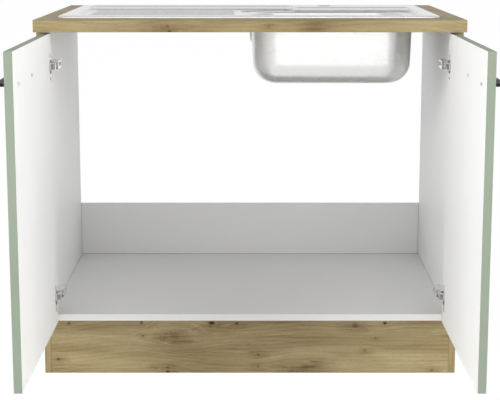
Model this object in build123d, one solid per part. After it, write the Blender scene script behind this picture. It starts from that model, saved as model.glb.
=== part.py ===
from build123d import *
import os
from math import hypot, radians, tan

# Carcass boards
WIDTH = 1000.0
SIDE_HEIGHT = 834.0
SIDE_DEPTH = 601.0
BOARD = 16.0
PLINTH_HEIGHT = 132.0
RAIL_WIDTH = 100.0
STRIP_THICK = 3.0
STRIP_HEIGHT = 164.0

# Worktop
TOP_THICK = 28.0
TOP_OVERHANG = 46.0
TOP_EDGE = 3.0

# Doors: reveal at each edge, gap behind a shut door, lap over the plinth
DOOR_THICK = 18.0
REVEAL = 1.5
DOOR_GAP = 2.0
DOOR_TOP_GAP = 4.0
DOOR_LAP = 2.0
DOOR_EDGE = 1.2

# Sink: pressed sheet, measured from its own centre and the worktop's top
SHEET = 0.8
SINK_SIDE = 48.0
SINK_FRONT = 80.0
SINK_BACK = 70.0
SINK_SHIFT = -2.5
SINK_CORNER = 15.0
RIM_HEIGHT = 5.0
RIM_BAND = 28.0
RIM_EDGE = 3.5
PAN_DEPTH = 10.0
PAN_STEP = 2.5
PAN_BACK = 45.0
PAN_CORNER = 22.0
PAN_SLOPE = 20.0
PAN_FLOOR_R = 3.0
PAN_LIP = 4.0
LEDGE_BACK = 108.0
LEDGE_LEFT = 118.0
LOW_LEFT = -19.0
LOW_TURN = 75.0
LOW_RUN = 377.0
LOW_RISE = 207.0
BOWL_DEPTH = 170.0
BOWL_LEFT = 6.2
BOWL_RIGHT = 53.2
BOWL_FRONT = 43.5
BOWL_BACK = 124.0
BOWL_CORNER = 70.0
BOWL_FLOOR_R = 52.0
BOWL_LIP = 6.0
BOWL_SLOPE = 2.0
SEAT_R = 37.5
SEAT_DEPTH = 4.5
SEAT_SLOPE = 30.0
WASTE_R = 26.0
TAP_R = 17.5
TAP_BACK = 55.0
OVERFLOW_FRONT = 40.0
OVERFLOW_R = 11.0
OVERFLOW_DISH = 34.0
OVERFLOW_DEEP = 5.0
CUTOUT_INSET = 18.0
RIBS = 8
RIB_R = 8.0
RIB_SUNK = 6.2
RIB_EDGE = 40.0
RIB_START = 26.0
RIB_STOP = 22.0

# Hinge: fixed pin beyond the open door's face and behind the front
PIN_IN = 2.0
PIN_BACK = 5.0
PIN_SINK = 1.2
PIN_R = 1.5
OPEN_GAP = 1.0
PIVOT_GAP = 0.35
CUP_R = 17.5
CUP_EDGE = 5.0
CUP_DEPTH = 11.5
HINGE_TOP = 78.0
HINGE_BOTTOM = 66.0
FIT = 0.15

# Handle
GRIP_LENGTH = 200.0
GRIP_HEIGHT = 7.0
GRIP_REACH = 28.0
GRIP_BAR = 9.5
GRIP_FOOT = 28.0
GRIP_END = 34.9
GRIP_DROP = 70.0
GRIP_SCREWS = 160.0

# What follows from the sizes above
INNER = WIDTH / 2 - BOARD
DEPTH = SIDE_DEPTH + STRIP_THICK
DOOR_WIDTH = WIDTH / 2 - 2 * REVEAL
DOOR_TOP = SIDE_HEIGHT - DOOR_TOP_GAP
DOOR_BOTTOM = PLINTH_HEIGHT - DOOR_LAP
TOP_Z = SIDE_HEIGHT + TOP_THICK
FLOOR_MID = PLINTH_HEIGHT + BOARD / 2
RAIL_MID = SIDE_HEIGHT - BOARD / 2
FRONT = (DOOR_GAP + DOOR_WIDTH - DEPTH) / 2
BACK = FRONT + DEPTH
SINK_W = WIDTH - 2 * SINK_SIDE
SINK_D = DEPTH + TOP_OVERHANG - SINK_FRONT - SINK_BACK
SINK_Y = FRONT - TOP_OVERHANG + SINK_FRONT + SINK_D / 2
DOOR_FACE = DOOR_THICK + OPEN_GAP
PIN_X = DOOR_FACE + PIN_IN
HINGE_Z = (DOOR_TOP - HINGE_TOP, DOOR_BOTTOM + HINGE_BOTTOM)
CUP_U = CUP_EDGE + CUP_R


def block(x0, x1, y0, y1, z0, z1):
    return Pos((x0 + x1) / 2, (y0 + y1) / 2, (z0 + z1) / 2) * Box(x1 - x0, y1 - y0, z1 - z0)


def rod_x(x0, x1, y, z, radius):
    return Pos((x0 + x1) / 2, y, z) * Rot(0, 90, 0) * Cylinder(radius, x1 - x0)


def rod_y(x, y0, y1, z, radius):
    return Pos(x, (y0 + y1) / 2, z) * Rot(90, 0, 0) * Cylinder(radius, y1 - y0)


def rod_z(x, y, z0, z1, radius):
    return Pos(x, y, (z0 + z1) / 2) * Cylinder(radius, z1 - z0)


def joined(pieces):
    first = pieces[0]
    return first.fuse(*pieces[1:]) if len(pieces) > 1 else first


def group(pieces):
    return Compound(children=list(pieces))


def both_sides(pieces):
    return list(pieces) + [piece.mirror(Plane.YZ) for piece in pieces]


def flat_profile(points, z0, z1, radius=0.0):
    face = Polygon(*points, align=None)
    if radius:
        face = fillet(face.vertices(), radius)
    return Pos(0, 0, z0) * extrude(face, z1 - z0)


def save(name, shape):
    export_step(shape, "parts/" + name + ".step")


# Knock-down fittings: a bolt in the side panel held by a cam in the board,
# and dowels beside it. Each site is (y, z, way the cam faces).
CAM_R = 7.5
CAM_DEPTH = BOARD / 2 + 4.5
CAM_IN = 34.0
DOWEL_R = 4.0
DOWEL_SIDE = 10.0
DOWEL_BOARD = 20.0
RAIL_DOWEL = 30.0
PLINTH_DOWEL = 29.0
FLOOR_CAMS = (FRONT + 60.0, FRONT + SIDE_DEPTH - 60.0)
FLOOR_DOWELS = (FRONT + 120.0, FRONT + SIDE_DEPTH - 120.0)
RAIL_Y = FRONT + SIDE_DEPTH - RAIL_WIDTH / 2
PLINTH_Y = FRONT + BOARD / 2


def cam_sites():
    sites = [(y, FLOOR_MID, "down") for y in FLOOR_CAMS]
    sites.append((RAIL_Y, RAIL_MID, "down"))
    sites.append((PLINTH_Y, PLINTH_HEIGHT / 2, "back"))
    return sites


def dowel_sites():
    sites = [(y, FLOOR_MID) for y in FLOOR_DOWELS]
    sites += [(RAIL_Y + step, RAIL_MID) for step in (-RAIL_DOWEL, RAIL_DOWEL)]
    sites += [(PLINTH_Y, z) for z in (PLINTH_DOWEL, PLINTH_HEIGHT - PLINTH_DOWEL)]
    return sites


def cam_pocket(y, z, way, grow):
    x = -INNER + CAM_IN
    deep = BOARD / 2
    if way == "down":
        return rod_z(x, y, z - deep, z - deep + CAM_DEPTH, CAM_R + grow)
    return rod_y(x, y + deep - CAM_DEPTH, y + deep, z, CAM_R + grow)


def board_holes():
    holes = []
    for y, z, way in cam_sites():
        holes.append(cam_pocket(y, z, way, FIT))
        holes.append(rod_x(-INNER - 1, -INNER + CAM_IN, y, z, 4.0))
    for y, z in dowel_sites():
        holes.append(rod_x(-INNER - 1, -INNER + DOWEL_BOARD + 1, y, z, DOWEL_R + FIT))
    return both_sides(holes)


def cam_disc(y, z, way):
    x = -INNER + CAM_IN
    disc = cam_pocket(y, z, way, 0)
    mouth = block(x - CAM_R - 1, x + 1.5, y - 2.7, y + 2.7, z - 2.7, z + 2.7)
    hollow = rod_z(x, y, z - 4.2, z + 4.2, 4.6)
    face = z - BOARD / 2
    slot = block(x - 4, x + 4, y - 0.8, y + 0.8, face - 1, face + 2.2)
    if way == "back":
        hollow = rod_y(x, y - 4.2, y + 4.2, z, 4.6)
        face = y + BOARD / 2
        slot = block(x - 4, x + 4, face - 2.2, face + 1, z - 0.8, z + 0.8)
    return disc - mouth - hollow - slot


def cam_discs():
    return group(both_sides([cam_disc(*site) for site in cam_sites()]))


def cam_bolt(y, z):
    tip = rod_x(-INNER - 11, -INNER, y, z, 2.5)
    shank = rod_x(-INNER, -INNER + CAM_IN - CAM_R - 1.5, y, z, 3.5)
    neck = rod_x(-INNER + CAM_IN - CAM_R - 1.5, -INNER + CAM_IN - 1, y, z, 2.2)
    head = rod_x(-INNER + CAM_IN - 2.6, -INNER + CAM_IN + 1.4, y, z, 3.4)
    return joined([tip, shank, neck, fillet(head.edges(), 0.8)])


def cam_bolts():
    return group(both_sides([cam_bolt(y, z) for y, z, way in cam_sites()]))


def dowel(y, z):
    pin = rod_x(-INNER - DOWEL_SIDE, -INNER + DOWEL_BOARD, y, z, DOWEL_R)
    return chamfer(pin.edges(), 0.8)


def dowels():
    return group(both_sides([dowel(y, z) for y, z in dowel_sites()]))


# Side panels: white inside, drilled for the fittings and the hinge plates
PLATE_SCREW_Y = 37.0
PLATE_SCREW_Z = 16.0
PLATE_SCREW_R = 2.2
PLATE_SCREW_LONG = 11.0
BRACKET_FRONT = 280.0
BRACKET_BACK = 141.0
BRACKET_LEG = 24.0
BRACKET_HOLE = 14.4
BRACKET_WIDE = 20.0
BRACKET_THICK = 1.8
BRACKET_SCREW = 13.0


def bracket_places():
    return [FRONT + BRACKET_FRONT, FRONT + SIDE_DEPTH - BRACKET_BACK]


def side_panel():
    panel = block(-WIDTH / 2, -INNER, FRONT, FRONT + SIDE_DEPTH, 0, SIDE_HEIGHT)
    holes = [rod_x(-INNER - 11.5, -INNER + 1, y, z, 2.5 + FIT) for y, z, way in cam_sites()]
    for y, z in dowel_sites():
        holes.append(rod_x(-INNER - DOWEL_SIDE - 0.5, -INNER + 1, y, z, DOWEL_R + FIT))
    for z in HINGE_Z:
        for step in (-PLATE_SCREW_Z, PLATE_SCREW_Z):
            y = FRONT + PLATE_SCREW_Y
            holes.append(rod_x(-INNER - 11.5, -INNER + 1, y, z + step, PLATE_SCREW_R + FIT))
    for y in bracket_places():
        z = SIDE_HEIGHT - BRACKET_HOLE
        holes.append(rod_x(-INNER - BRACKET_SCREW, -INNER + 1, y, z, 1.75 + FIT))
    for y, z in nail_places():
        holes.append(rod_y(-WIDTH / 2 + BOARD / 2, BACK - NAIL_LONG, BACK, z, NAIL_R + FIT))
    return panel.cut(*holes)


# Floor board, plinth board and the flat rail at the back
def floor_board():
    board = block(-INNER, INNER, FRONT, FRONT + SIDE_DEPTH, PLINTH_HEIGHT, PLINTH_HEIGHT + BOARD)
    holes = board_holes()
    for x in strip_floor_nails():
        holes.append(rod_y(x, BACK - NAIL_LONG, BACK, NAIL_FLOOR_Z, NAIL_R + FIT))
    return board.cut(*holes)


def plinth_board():
    board = block(-INNER, INNER, FRONT, FRONT + BOARD, 0, PLINTH_HEIGHT)
    return board.cut(*board_holes())


def rear_top_rail():
    back = FRONT + SIDE_DEPTH
    rail = block(-INNER, INNER, back - RAIL_WIDTH, back, SIDE_HEIGHT - BOARD, SIDE_HEIGHT)
    return rail.cut(*board_holes())


# Rear strip: thin hardboard nailed over the back edges above the floor board
NAIL_R = 0.8
NAIL_LONG = 17.0
NAIL_HEAD_R = 2.0
NAIL_HEAD = 0.8
NAIL_FLOOR_Z = PLINTH_HEIGHT + BOARD / 2 + 2.0
STRIP_Z = PLINTH_HEIGHT + 2.0


def nail_places():
    top = STRIP_Z + STRIP_HEIGHT
    return [(BACK, STRIP_Z + 50.0), (BACK, (STRIP_Z + 50.0 + top - 14.0) / 2), (BACK, top - 14.0)]


def strip_floor_nails():
    return [INNER * part for part in (-0.8, -0.4, 0.0, 0.4, 0.8)]


def strip_nail(x, z):
    shaft = rod_y(x, BACK - NAIL_LONG, BACK - NAIL_HEAD, z, NAIL_R)
    return joined([shaft, rod_y(x, BACK - NAIL_HEAD, BACK, z, NAIL_HEAD_R)])


def all_nails():
    middle = WIDTH / 2 - BOARD / 2
    places = [(side * middle, z) for y, z in nail_places() for side in (-1, 1)]
    return places + [(x, NAIL_FLOOR_Z) for x in strip_floor_nails()]


def strip_nails():
    return group([strip_nail(x, z) for x, z in all_nails()])


def rear_strip():
    edge = WIDTH / 2 - 2.0
    strip = block(-edge, edge, BACK - STRIP_THICK, BACK, STRIP_Z, STRIP_Z + STRIP_HEIGHT)
    holes = []
    for x, z in all_nails():
        holes.append(rod_y(x, BACK - STRIP_THICK - 1, BACK, z, NAIL_R + FIT))
        holes.append(rod_y(x, BACK - NAIL_HEAD, BACK + 1, z, NAIL_HEAD_R + FIT))
    return strip.cut(*holes)


# Worktop: laminated board with a rounded front edge and the sink's cut-out
def cutout(grow, z0, z1):
    size = (SINK_W - 2 * CUTOUT_INSET + 2 * grow, SINK_D - 2 * CUTOUT_INSET + 2 * grow)
    return Pos(SINK_SHIFT, SINK_Y, z0) * extrude(RectangleRounded(*size, 15 + grow), z1 - z0)


def worktop():
    slab = block(-WIDTH / 2, WIDTH / 2, FRONT - TOP_OVERHANG, BACK, SIDE_HEIGHT, TOP_Z)
    front = slab.edges().filter_by(Axis.X).group_by(Axis.Y)[0].sort_by(Axis.Z)
    slab = fillet(front[-1], TOP_EDGE)
    slab = fillet(slab.edges().filter_by(Axis.X).group_by(Axis.Y)[0].sort_by(Axis.Z)[0], 1.0)
    holes = [cutout(0, SIDE_HEIGHT - 1, TOP_Z + 1)]
    for y in bracket_places():
        for side in (-1, 1):
            x = side * (INNER - BRACKET_HOLE)
            z1 = SIDE_HEIGHT + BRACKET_SCREW
            holes.append(rod_z(x, y, SIDE_HEIGHT - 1, z1, 1.75 + FIT))
    return slab.cut(*holes)


# Angle brackets that hold the worktop to the side panels
def bracket(y):
    x0 = -INNER
    z1 = SIDE_HEIGHT
    half = BRACKET_WIDE / 2
    wall = block(x0, x0 + BRACKET_THICK, y - half, y + half, z1 - BRACKET_LEG, z1)
    ledge = block(x0, x0 + BRACKET_LEG, y - half, y + half, z1 - BRACKET_THICK, z1)
    angle = joined([wall, ledge])
    corner = angle.edges().filter_by(Axis.Y).sort_by(lambda e: hypot(
        e.center().X - x0 - BRACKET_THICK, e.center().Z - z1 + BRACKET_THICK))[0]
    angle = fillet(corner, 1.5)
    reach = BRACKET_HOLE
    drill = [rod_x(x0 - 1, x0 + 3, y, z1 - reach, 2.2), rod_z(x0 + reach, y, z1 - 3, z1 + 1, 2.2)]
    return angle.cut(*drill)


def worktop_brackets():
    return group(both_sides([bracket(y) for y in bracket_places()]))


def bracket_screw_pair(y):
    x = -INNER + BRACKET_THICK
    z = SIDE_HEIGHT - BRACKET_THICK
    reach = BRACKET_HOLE
    level = SIDE_HEIGHT - reach
    side = [rod_x(x, x + 1.6, y, level, 3.5), rod_x(x - BRACKET_SCREW, x, y, level, 1.75)]
    over = -INNER + reach
    up = [rod_z(over, y, z - 1.6, z, 3.5), rod_z(over, y, z, z + BRACKET_SCREW, 1.75)]
    return [joined(side), joined(up)]


def bracket_screws():
    screws = []
    for y in bracket_places():
        screws += bracket_screw_pair(y)
    return group(both_sides(screws))


# Sink: one pressed sheet. Its upper side and its underside are shaped alike,
# one sheet thickness apart, and the sheet is what lies between them.
PAN_X = SINK_W / 2 - RIM_BAND
PAN_FRONT = -SINK_D / 2 + RIM_BAND
PAN_REAR = SINK_D / 2 - PAN_BACK
LEDGE = SINK_D / 2 - LEDGE_BACK
BOWL_X = (BOWL_LEFT, SINK_W / 2 - BOWL_RIGHT)
BOWL_Y = (-SINK_D / 2 + BOWL_FRONT, SINK_D / 2 - BOWL_BACK)
WASTE_X = (BOWL_X[0] + BOWL_X[1]) / 2
WASTE_Y = (BOWL_Y[0] + BOWL_Y[1]) / 2
BOWL_Z = RIM_HEIGHT - BOWL_DEPTH
LOW_Z = RIM_HEIGHT - PAN_DEPTH - PAN_STEP
TAP_Y = SINK_D / 2 - TAP_BACK
OVERFLOW_Y = WASTE_Y - OVERFLOW_FRONT
OVERFLOW_Z = -42.0
DIE = BOWL_DEPTH + 30.0


def sunk(face, top, depth, taper):
    return Pos(0, 0, top) * extrude(face, depth, dir=(0, 0, -1), taper=taper)


def outline(points, radius, grow):
    face = fillet(Polygon(*points, align=None).vertices(), radius)
    return offset(face, grow) if grow else face


def lowest_edges(solid):
    return solid.faces().sort_by(Axis.Z)[0].outer_wire().edges()


def pan_hollow(t, depth):
    points = [(-PAN_X, PAN_FRONT), (PAN_X, PAN_FRONT), (PAN_X, LEDGE), (LEDGE_LEFT, LEDGE),
              (LEDGE_LEFT, PAN_REAR), (-PAN_X, PAN_REAR)]
    hollow = sunk(outline(points, PAN_CORNER, t), RIM_HEIGHT, depth + t, PAN_SLOPE)
    return fillet(lowest_edges(hollow), PAN_FLOOR_R + t)


def low_hollow(t):
    deep = pan_hollow(t, PAN_DEPTH + PAN_STEP)
    turn = PAN_REAR - LOW_TURN
    points = [(LOW_LEFT, -SINK_D), (SINK_W, -SINK_D), (SINK_W, SINK_D),
              (LOW_LEFT + LOW_RUN, turn + LOW_RISE), (LOW_LEFT, turn)]
    face = offset(Polygon(*points, align=None), 0.414 * t) if t else Polygon(*points, align=None)
    region = Pos(0, 0, LOW_Z - t) * extrude(face, PAN_STEP + 0.3, taper=-45)
    return deep & region


def bowl_hollow(t):
    wide = BOWL_X[1] - BOWL_X[0] + 2 * t
    deep = BOWL_Y[1] - BOWL_Y[0] + 2 * t
    face = Pos(WASTE_X, WASTE_Y, 0) * RectangleRounded(wide, deep, BOWL_CORNER + t)
    hollow = sunk(face, RIM_HEIGHT, BOWL_DEPTH + t, BOWL_SLOPE)
    hollow = fillet(lowest_edges(hollow), BOWL_FLOOR_R + t)
    seat = sunk(Circle(SEAT_R + t), BOWL_Z - t + 0.5, SEAT_DEPTH, SEAT_SLOPE)
    seat = Pos(WASTE_X, WASTE_Y, 0) * seat
    return hollow + seat + overflow_hollow(t)


def overflow_hollow(t):
    wall = BOWL_X[0] + (RIM_HEIGHT - OVERFLOW_Z) * tan(radians(BOWL_SLOPE))
    place = Pos(wall + 4, OVERFLOW_Y, OVERFLOW_Z) * Rot(0, -90, 0)
    return place * extrude(Circle(OVERFLOW_DISH + t), OVERFLOW_DEEP + 4 + t, taper=48)


def drain_rib(y, t):
    x0 = -PAN_X + RIB_START
    x1 = LOW_LEFT - RIB_STOP
    radius = RIB_R - t
    z = RIM_HEIGHT - PAN_DEPTH - RIB_SUNK
    ends = [Pos(x, y, z) * Sphere(radius) for x in (x0, x1)]
    return joined([rod_x(x0, x1, y, z, radius)] + ends)


def rib_places():
    first = PAN_FRONT + RIB_EDGE
    step = (PAN_REAR - RIB_EDGE - first) / (RIBS - 1)
    return [first + step * i for i in range(RIBS)]


def pressed(t):
    size = (SINK_W - 2 * t, SINK_D - 2 * t)
    block_face = RectangleRounded(*size, SINK_CORNER - t)
    body = Pos(0, 0, -DIE) * extrude(block_face, DIE + RIM_HEIGHT - t)
    body = fillet(body.faces().sort_by(Axis.Z)[-1].outer_wire().edges(), RIM_EDGE - t)
    body = body - pan_hollow(t, PAN_DEPTH) - low_hollow(t) - bowl_hollow(t)
    top = body.faces().filter_by(Plane.XY).sort_by(Axis.Z)[-1]
    body = fillet(top.inner_wires()[0].edges(), PAN_LIP - t)
    low = [f for f in body.faces().filter_by(Plane.XY) if abs(f.center().Z - LOW_Z + t) < 0.01]
    body = fillet(low[0].inner_wires()[0].edges(), BOWL_LIP - t)
    return body.fuse(*[drain_rib(y, t) for y in rib_places()])


def sink():
    sheet = pressed(0) - pressed(SHEET)
    ring = RectangleRounded(SINK_W + 10, SINK_D + 10, SINK_CORNER)
    ring = ring - RectangleRounded(SINK_W - 8, SINK_D - 8, SINK_CORNER - 2)
    sheet = sheet - Pos(0, 0, -DIE - 1) * extrude(ring, DIE + 1)
    cuts = [rod_z(WASTE_X, WASTE_Y, BOWL_Z - 10, BOWL_Z + 1, WASTE_R)]
    cuts.append(rod_z(WASTE_X, TAP_Y, 0, RIM_HEIGHT + 1, TAP_R))
    cuts.append(rod_x(BOWL_X[0] - 10, BOWL_X[0] + 6, OVERFLOW_Y, OVERFLOW_Z, OVERFLOW_R))
    return Pos(SINK_SHIFT, SINK_Y, TOP_Z) * sheet.cut(*cuts)


# Foam seal between the sink's rim and the worktop
def sink_seal():
    outer = RectangleRounded(SINK_W - 10, SINK_D - 10, SINK_CORNER - 5)
    inner = RectangleRounded(SINK_W - 30, SINK_D - 30, 6)
    tall = RIM_HEIGHT - SHEET
    return Pos(SINK_SHIFT, SINK_Y, TOP_Z) * extrude(outer - inner, tall)


# Sink clamps: a strip welded under the pan hangs through the cut-out, and a
# screw through its foot presses a round pad against the worktop's underside.
CLAMP_WIDE = 14.0
CLAMP_STRIP = 1.2
CLAMP_PAD_R = 6.0
CLAMP_PAD = 2.0
CLAMP_SCREW_R = 2.0
CLAMP_REACH = 25.0
CLAMP_GRIP = 8.0
CLAMP_TAIL = 3.0
CLAMP_HEAD = 2.6
CLAMP_SPREAD = 110.0


def clamp_frames():
    side = (-CLAMP_SPREAD, CLAMP_SPREAD)
    under = RIM_HEIGHT - PAN_DEPTH - SHEET
    frames = [(Pos(-PAN_X + 6.0, y, under) * Rot(0, 0, 180), under) for y in side]
    low = LOW_Z - SHEET
    return frames + [(Pos(PAN_X - 6.0, y, low), low) for y in side]


def clamp_level(under):
    return SIDE_HEIGHT - TOP_Z - under


def clamp_hanger(under):
    half = CLAMP_WIDE / 2
    foot = clamp_level(under) - CLAMP_PAD - CLAMP_GRIP
    shelf = block(-12, 0, -half, half, -CLAMP_STRIP, 0)
    leg = block(-CLAMP_STRIP, 0, -half, half, foot, 0)
    base = block(-CLAMP_STRIP, CLAMP_REACH + 6, -half, half, foot, foot + CLAMP_STRIP)
    strip = joined([shelf, leg, base])
    tip = strip.edges().filter_by(Axis.Z).group_by(Axis.X)[-1]
    return fillet(tip, 4) - rod_z(CLAMP_REACH, 0, foot - 1, foot + 2, CLAMP_SCREW_R + FIT)


def clamp_screw(under):
    top = clamp_level(under) - CLAMP_PAD
    tail = top - CLAMP_GRIP - CLAMP_TAIL
    low = tail - CLAMP_HEAD
    shaft = rod_z(CLAMP_REACH, 0, tail, top, CLAMP_SCREW_R)
    head = rod_z(CLAMP_REACH, 0, low, tail, 3.5)
    slot = block(CLAMP_REACH - 4, CLAMP_REACH + 4, -0.5, 0.5, low - 1, low + 1.3)
    return joined([shaft, head]) - slot


def clamp_pad(under):
    top = clamp_level(under)
    pad = rod_z(CLAMP_REACH, 0, top - CLAMP_PAD, top, CLAMP_PAD_R)
    return fillet(pad.edges().group_by(Axis.Z)[0], 0.8)


def clamped(make):
    place = Pos(SINK_SHIFT, SINK_Y, TOP_Z)
    return group([place * frame * make(under) for frame, under in clamp_frames()])


# Hinges, drawn for the left side. Lengths run inward from the side panel's
# inner face and back from the carcass front, heights from the hinge's middle.
ARM_IN = 8.6
ARM_OUT = 9.8
LEVER_IN = 7.0
LEVER_OUT = 8.2
LEVER_HALF = 2.6
EYE_R = 3.2
NOSE_R = 4.0
ARM_TOP = 31.0
ARM_BACK = 66.0
CAST_FRONT = 22.0
CAST_HALF = 8.3


def cup_pin_depth():
    lap = BOARD - REVEAL
    shut = (lap + PIN_X) ** 2 + (DOOR_GAP + PIN_SINK + PIN_BACK) ** 2
    rest = (DOOR_FACE - PIN_SINK - PIN_X) ** 2 + (DOOR_GAP + PIN_BACK) ** 2
    return (shut - rest) / (2 * (lap + PIN_X + DOOR_GAP + PIN_BACK))


CUP_PIN = (DOOR_FACE - PIN_SINK, -DOOR_GAP - cup_pin_depth())


def hinged(make):
    return [Pos(-INNER, FRONT, z) * make() for z in HINGE_Z]


def mounting_plate():
    wings = flat_profile([(-26, 27), (26, 27), (26, 47), (-26, 47)], 0, 2, 5)
    wings = Rot(0, 90, 0) * wings
    body = block(0, ARM_TOP - 1, CAST_FRONT, ARM_BACK - 4, -CAST_HALF, CAST_HALF)
    body = fillet(body.edges().filter_by(Axis.X), 2.5)
    plate = joined([wings, body])
    drill = [rod_x(-1, 3, PLATE_SCREW_Y, s * PLATE_SCREW_Z, 2.4) for s in (-1, 1)]
    drill.append(rod_x(ARM_TOP - 16, ARM_TOP, 52, 0, 2.0 + FIT))
    drill.append(rod_x(ARM_TOP - 16, ARM_TOP, 32, 0, 2.5 + FIT))
    return plate.cut(*drill)


def arm_side(z0, z1):
    nose = rod_z(PIN_X, PIN_BACK, z0, z1, NOSE_R)
    low = ARM_TOP - 17.0
    points = [(PIN_X - 2.4, PIN_BACK + 2.6), (PIN_X + 3.6, PIN_BACK - 1.0), (ARM_TOP - 3, 15),
              (ARM_TOP, 19), (ARM_TOP, ARM_BACK), (low, ARM_BACK), (low, CAST_FRONT)]
    return joined([nose, flat_profile(points, z0, z1)])


def hinge_arm():
    solid = arm_side(-ARM_OUT, ARM_OUT)
    room = block(0, ARM_TOP - 1, -10, ARM_BACK + 5, -ARM_IN, ARM_IN)
    window = block(ARM_TOP - 2, ARM_TOP + 1, -10, 19, -ARM_IN, ARM_IN)
    arm = solid - room - window
    drill = [rod_z(PIN_X, PIN_BACK, -12, 12, PIN_R + FIT)]
    drill.append(rod_x(ARM_TOP - 2, ARM_TOP + 1, 32, 0, 2.5 + FIT))
    drill.append(block(ARM_TOP - 2, ARM_TOP + 1, 48, ARM_BACK + 1, -2.3, 2.3))
    return arm.cut(*drill)


def arm_screw_set():
    head = rod_x(ARM_TOP, ARM_TOP + 2.2, 52, 0, 4.0)
    head = head - block(ARM_TOP + 1, ARM_TOP + 3, 48, 56, -0.6, 0.6)
    clamp = joined([head, rod_x(ARM_TOP - 13, ARM_TOP, 52, 0, 2.0)])
    adjust = rod_x(ARM_TOP - 13, ARM_TOP + 0.6, 32, 0, 2.5)
    return [clamp, adjust - block(ARM_TOP - 0.8, ARM_TOP + 1, 28, 36, -0.5, 0.5)]


def arm_pin():
    pin = rod_z(PIN_X, PIN_BACK, -ARM_OUT, ARM_OUT, PIN_R)
    ends = [(-ARM_OUT - 0.6, -ARM_OUT), (ARM_OUT, ARM_OUT + 0.6)]
    heads = [rod_z(PIN_X, PIN_BACK, z0, z1, 2.4) for z0, z1 in ends]
    return joined([pin] + heads)


def plate_screw_pair():
    screws = []
    for side in (-1, 1):
        z = side * PLATE_SCREW_Z
        head = fillet(rod_x(2, 4, PLATE_SCREW_Y, z, 3.8).edges().group_by(Axis.X)[-1], 0.8)
        cross = joined([block(3.2, 5, PLATE_SCREW_Y - 2, PLATE_SCREW_Y + 2, z - 0.4, z + 0.4),
                        block(3.2, 5, PLATE_SCREW_Y - 0.4, PLATE_SCREW_Y + 0.4, z - 2, z + 2)])
        shank = rod_x(-PLATE_SCREW_LONG, 2, PLATE_SCREW_Y, z, PLATE_SCREW_R)
        screws.append(joined([head, shank]) - cross)
    return screws


# Lever: a bent channel that reaches round the door's edge into the cup
def lever_profile():
    bend = [(PIN_X + 5.0, PIN_BACK - 7.0), (PIN_X + 5.6, PIN_BACK - 13.0)]
    path = Spline((PIN_X, PIN_BACK), *bend, CUP_PIN)
    marks = [path @ (i / 12) for i in range(13)]
    along = [path % (i / 12) for i in range(13)]
    left = [(p.X - d.Y * LEVER_HALF, p.Y + d.X * LEVER_HALF) for p, d in zip(marks, along)]
    right = [(p.X + d.Y * LEVER_HALF, p.Y - d.X * LEVER_HALF) for p, d in zip(marks, along)]
    edge = Spline(*left)
    back = Spline(*right)
    ends = [Line(left[0], right[0]), Line(left[-1], right[-1])]
    return make_face(Wire([*edge.edges(), ends[0].edge(), *back.edges(), ends[1].edge()]))


def lever():
    face = lever_profile()
    plates = []
    for z0, z1 in ((-LEVER_OUT, -LEVER_IN), (LEVER_IN, LEVER_OUT)):
        plates.append(Pos(0, 0, z0) * extrude(face, z1 - z0, dir=(0, 0, 1)))
        plates.append(rod_z(PIN_X, PIN_BACK, z0, z1, EYE_R))
        plates.append(rod_z(*CUP_PIN, z0, z1, EYE_R))
    full = Pos(0, 0, -LEVER_IN) * extrude(face, 2 * LEVER_IN, dir=(0, 0, 1))
    skin = full - Pos(-1.2, 0, 0) * full
    window = block(CUP_PIN[0] + 4, PIN_X + 12, CUP_PIN[1] + 5, PIN_BACK - 5.5, -20, 20)
    solid = joined(plates + [skin & window])
    drill = [rod_z(x, y, -10, 10, PIN_R + PIVOT_GAP) for x, y in ((PIN_X, PIN_BACK), CUP_PIN)]
    return solid.cut(*drill)


# Hinge cup, in the open door: a pressed pot with a flange on the inner face
CUP_SCREW_U = CUP_U + 5.5
CUP_SCREW_Z = 26.0
FLANGE = 1.0
CUP_WALL = 1.0


def hinge_cup():
    face = DOOR_FACE
    y = -DOOR_GAP - CUP_U
    pot = rod_x(face - CUP_DEPTH, face, y, 0, CUP_R)
    pot = fillet(pot.edges().group_by(Axis.X)[0], 1.5)
    rim = rod_x(face, face + FLANGE, y, 0, CUP_R + 1.5)
    ear_y = -DOOR_GAP - CUP_SCREW_U
    ears = flat_profile([(-34, ear_y - 8), (34, ear_y - 8), (34, ear_y + 8), (-34, ear_y + 8)],
                        face, face + FLANGE, 6)
    cup = joined([pot, rim, Rot(0, 90, 0) * ears])
    cup = cup - rod_x(face - CUP_DEPTH + CUP_WALL, face + 2, y, 0, CUP_R - CUP_WALL)
    lugs = []
    px, py = CUP_PIN
    for z0, z1 in ((-CUP_R + 1.2, -9.4), (9.4, CUP_R - 1.2)):
        lug = block(px - 3.2, face, py - 3, py + 3, z0, z1)
        lugs.append(lug & rod_x(face - CUP_DEPTH, face + 1, y, 0, CUP_R - 0.5))
    cup = cup.fuse(*lugs)
    drill = [rod_x(face - 1, face + 2, ear_y, s * CUP_SCREW_Z, 1.9) for s in (-1, 1)]
    drill.append(rod_z(px, py, -12.5, 12.5, PIN_R + FIT))
    return cup.cut(*drill)


def cup_pin():
    return rod_z(*CUP_PIN, -12.0, 12.0, PIN_R)


def cup_screw_pair():
    x = DOOR_FACE + FLANGE
    y = -DOOR_GAP - CUP_SCREW_U
    screws = []
    for side in (-1, 1):
        z = side * CUP_SCREW_Z
        head = fillet(rod_x(x, x + 1.4, y, z, 3.4).edges().group_by(Axis.X)[-1], 0.7)
        shank = rod_x(x - 12, x, y, z, 1.7)
        cross = block(x + 0.8, x + 2, y - 1.8, y + 1.8, z - 0.35, z + 0.35)
        screws.append(joined([head, shank]) - cross)
    return screws


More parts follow.
